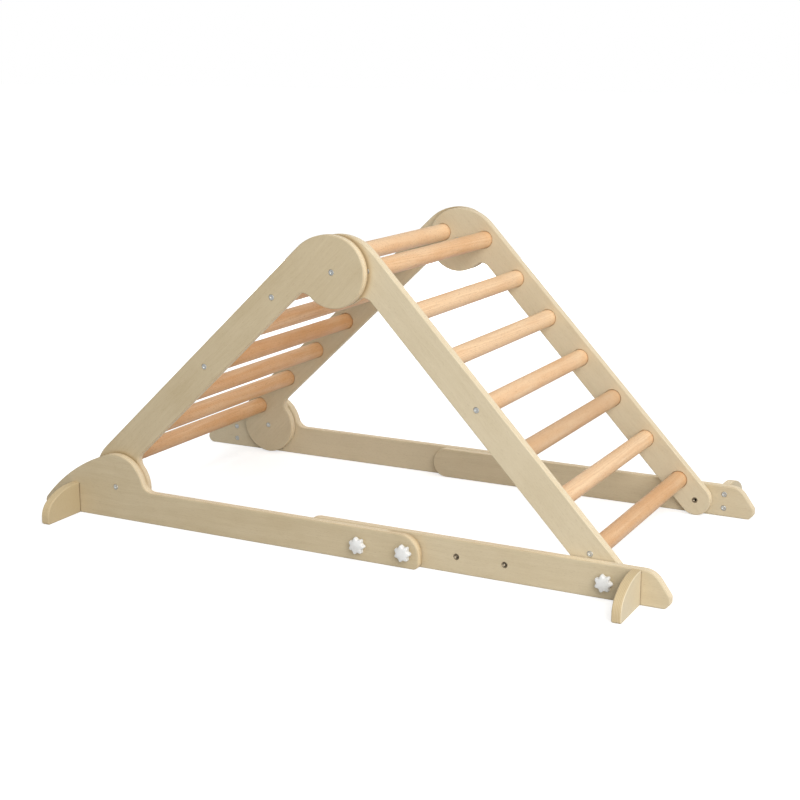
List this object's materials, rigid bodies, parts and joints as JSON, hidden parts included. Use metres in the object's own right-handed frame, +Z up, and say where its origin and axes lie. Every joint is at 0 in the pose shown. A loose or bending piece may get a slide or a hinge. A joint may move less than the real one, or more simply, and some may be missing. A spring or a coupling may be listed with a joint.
{
  "type": "climbing triangle",
  "caption": "Folding wooden climbing triangle: two rung ladders hinged at the top over a base that sets its length with star knobs.",
  "frame": {"origin": "on the floor, at the middle of the footprint", "axes": "+X from the rear ladder to the front ladder, +Y to the left, +Z up"},
  "size_m": [1.335, 0.814, 0.6014],
  "materials": {
    "birch_plywood": "clear-lacquered birch plywood, pale layered edges",
    "beech": "clear-lacquered beech dowel",
    "white_plastic": "moulded, satin",
    "zinc_steel": "bright zinc plate",
    "dark_steel": "black zinc"
  },
  "bodies": {
    "rear_ladder": {"rear_stile_right": "birch_plywood", "rear_stile_left": "birch_plywood", "rear_rung_1": "beech", "rear_rung_2": "beech", "rear_rung_3": "beech", "rear_rung_4": "beech", "rear_rung_5": "beech", "rear_rung_6": "beech", "rear_rung_bolts": "zinc_steel", "top_pivot_bolts": "zinc_steel", "top_pivot_nuts": "zinc_steel", "top_pivot_washers": "zinc_steel", "rear_pivot_bolts": "zinc_steel", "rear_pivot_nuts": "zinc_steel", "rear_pivot_washers": "zinc_steel"},
    "front_ladder": {"front_stile_right": "birch_plywood", "front_stile_left": "birch_plywood", "front_rung_1": "beech", "front_rung_2": "beech", "front_rung_3": "beech", "front_rung_4": "beech", "front_rung_5": "beech", "front_rung_6": "beech", "front_rung_7": "beech", "top_rung": "beech", "front_rung_bolts": "zinc_steel", "front_foot_inserts": "dark_steel"},
    "rear_base_right": {"rear_rail_right": "birch_plywood", "rear_foot_right": "birch_plywood", "rear_foot_screws_right": "zinc_steel"},
    "front_base_right": {"front_rail_right": "birch_plywood", "front_foot_right": "birch_plywood", "front_foot_screws_right": "zinc_steel", "splice_inserts_right": "dark_steel"},
    "splice_knob_1_right": {"splice_knob_1_right": "white_plastic", "splice_stud_1_right": "zinc_steel"},
    "splice_knob_2_right": {"splice_knob_2_right": "white_plastic", "splice_stud_2_right": "zinc_steel"},
    "foot_knob_right": {"foot_knob_right": "white_plastic", "foot_stud_right": "zinc_steel"},
    "rear_base_left": {"rear_rail_left": "birch_plywood", "rear_foot_left": "birch_plywood", "rear_foot_screws_left": "zinc_steel"},
    "front_base_left": {"front_rail_left": "birch_plywood", "front_foot_left": "birch_plywood", "front_foot_screws_left": "zinc_steel", "splice_inserts_left": "dark_steel"},
    "splice_knob_1_left": {"splice_knob_1_left": "white_plastic", "splice_stud_1_left": "zinc_steel"},
    "splice_knob_2_left": {"splice_knob_2_left": "white_plastic", "splice_stud_2_left": "zinc_steel"},
    "foot_knob_left": {"foot_knob_left": "white_plastic", "foot_stud_left": "zinc_steel"}
  },
  "joints": [
    {"name": "ladder_fold", "type": "hinge", "parent": "rear_ladder", "child": "front_ladder", "pos_m": [0.01204, 0, 0.53351], "axis": [0, 1, 0], "range_deg": [0, 90]},
    {"name": "base_fold_right", "type": "hinge", "parent": "rear_ladder", "child": "rear_base_right", "pos_m": [-0.4845, -0.298, 0.066], "axis": [0, -1, 0], "range_deg": [-11, 37]},
    {"name": "length_slide_right", "type": "slide", "parent": "rear_base_right", "child": "front_base_right", "axis": [1, 0, 0], "range_m": [-0.19, 0]},
    {"name": "splice_knob_1_right_turn", "type": "hinge", "parent": "rear_base_right", "child": "splice_knob_1_right", "pos_m": [0.0775, -0.312, 0.032], "axis": [0, -1, 0], "continuous": true},
    {"name": "splice_knob_2_right_turn", "type": "hinge", "parent": "rear_base_right", "child": "splice_knob_2_right", "pos_m": [0.1725, -0.312, 0.032], "axis": [0, -1, 0], "continuous": true},
    {"name": "foot_knob_right_turn", "type": "hinge", "parent": "front_base_right", "child": "foot_knob_right", "pos_m": [0.5515, -0.293, 0.032], "axis": [0, -1, 0], "continuous": true},
    {"name": "base_fold_left", "type": "hinge", "parent": "rear_ladder", "child": "rear_base_left", "pos_m": [-0.4845, 0.298, 0.066], "axis": [0, -1, 0], "range_deg": [-11, 37]},
    {"name": "length_slide_left", "type": "slide", "parent": "rear_base_left", "child": "front_base_left", "axis": [1, 0, 0], "range_m": [-0.19, 0]},
    {"name": "splice_knob_1_left_turn", "type": "hinge", "parent": "rear_base_left", "child": "splice_knob_1_left", "pos_m": [0.0775, 0.312, 0.032], "axis": [0, -1, 0], "continuous": true},
    {"name": "splice_knob_2_left_turn", "type": "hinge", "parent": "rear_base_left", "child": "splice_knob_2_left", "pos_m": [0.1725, 0.312, 0.032], "axis": [0, -1, 0], "continuous": true},
    {"name": "foot_knob_left_turn", "type": "hinge", "parent": "front_base_left", "child": "foot_knob_left", "pos_m": [0.5515, 0.293, 0.032], "axis": [0, -1, 0], "continuous": true}
  ]
}
